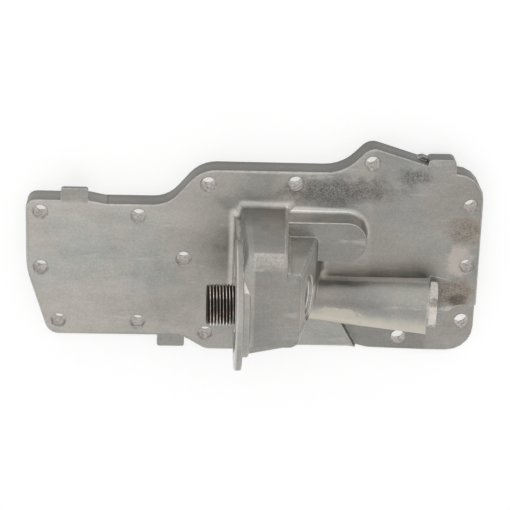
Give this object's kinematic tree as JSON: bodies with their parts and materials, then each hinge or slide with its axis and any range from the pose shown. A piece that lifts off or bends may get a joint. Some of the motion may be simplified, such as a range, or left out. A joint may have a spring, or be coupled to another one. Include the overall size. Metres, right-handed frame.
{
  "type": "oil filter housing",
  "caption": "Cast cover flange with a spin-on oil filter head, feed duct, threaded side port and pressure regulator with hex plug.",
  "frame": {"origin": "in the gasket plane, at the middle of the overall length and width", "axes": "+X along the flange from the filter end to the regulator plug, +Z out of the flange's front"},
  "size_m": [0.2836, 0.1359, 0.1095],
  "materials": {
    "cast_aluminium": "as cast, oily, stained",
    "dark_steel": "dark phosphated, oily",
    "plug_steel": "plated, bright",
    "washer_alloy": "soft, crushed",
    "spring_steel": "drawn wire",
    "valve_steel": "turned"
  },
  "bodies": {
    "housing": {"housing": "cast_aluminium", "filter_nipple": "dark_steel", "regulator_plug": "plug_steel", "regulator_washer": "washer_alloy", "regulator_spring": "spring_steel", "bypass_cage": "valve_steel", "bypass_spring": "spring_steel", "bypass_clip": "spring_steel"},
    "plunger": {"regulator_plunger": "valve_steel"},
    "disc": {"bypass_disc": "valve_steel"}
  },
  "joints": [
    {"name": "regulator_slide", "type": "slide", "parent": "housing", "child": "plunger", "axis": [0.9877, 0, 0.1564], "range_m": [0, 0.009], "stiffness_N_per_m": 4000, "springref_m": -0.012, "deforming": ["regulator_spring"]},
    {"name": "bypass_slide", "type": "slide", "parent": "housing", "child": "disc", "axis": [1, 0, 0], "range_m": [0, 0.003], "stiffness_N_per_m": 800, "springref_m": -0.003, "deforming": ["bypass_spring"]}
  ]
}
